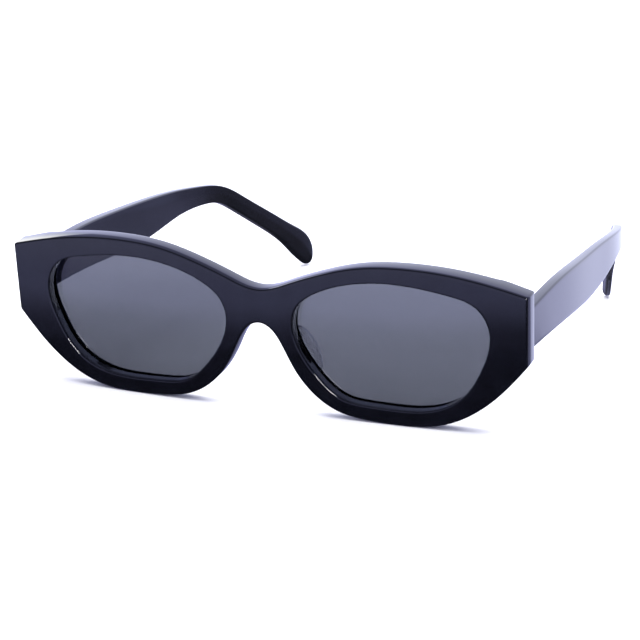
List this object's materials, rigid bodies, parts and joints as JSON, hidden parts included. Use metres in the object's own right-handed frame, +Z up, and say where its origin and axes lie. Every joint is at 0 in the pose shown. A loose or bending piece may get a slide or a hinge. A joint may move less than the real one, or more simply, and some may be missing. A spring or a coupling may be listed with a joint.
{
  "type": "sunglasses",
  "caption": "Cat eye sunglasses in glossy black acetate, with tinted lenses in an upswept front and wide temples that fold on barrel hinges.",
  "frame": {"origin": "centre of the bounding box, on the surface that the rims and temple tips stand on", "axes": "+X to the wearer's left, +Y backwards from the front along the temples, +Z up"},
  "size_m": [0.1418, 0.1516, 0.0428],
  "materials": {
    "acetate": "hand-polished glossy black acetate",
    "lens_tint": "smooth smoke grey tint, clear enough to see through",
    "hinge_metal": "satin nickel silver",
    "screw_metal": "turned stainless steel",
    "wire_metal": "drawn nickel silver"
  },
  "bodies": {
    "front": {"front_frame": "acetate", "lens_left": "lens_tint", "nose_pad_left": "acetate", "front_hinge_left": "hinge_metal", "front_hinge_pins_left": "hinge_metal", "hinge_screw_left": "screw_metal", "lens_right": "lens_tint", "nose_pad_right": "acetate", "front_hinge_right": "hinge_metal", "front_hinge_pins_right": "hinge_metal", "hinge_screw_right": "screw_metal"},
    "temple_left": {"temple_left": "acetate", "core_wire_left": "wire_metal", "temple_hinge_left": "hinge_metal", "temple_hinge_pins_left": "hinge_metal"},
    "temple_right": {"temple_right": "acetate", "core_wire_right": "wire_metal", "temple_hinge_right": "hinge_metal", "temple_hinge_pins_right": "hinge_metal"}
  },
  "joints": [
    {"name": "left_temple_fold", "type": "hinge", "parent": "front", "child": "temple_left", "pos_m": [0.0649, -0.06372, 0.02778], "axis": [0, -0.1323, 0.9912], "range_deg": [0, 84]},
    {"name": "right_temple_fold", "type": "hinge", "parent": "front", "child": "temple_right", "pos_m": [-0.0649, -0.06372, 0.02778], "axis": [0, 0.1323, -0.9912], "range_deg": [0, 76]}
  ]
}
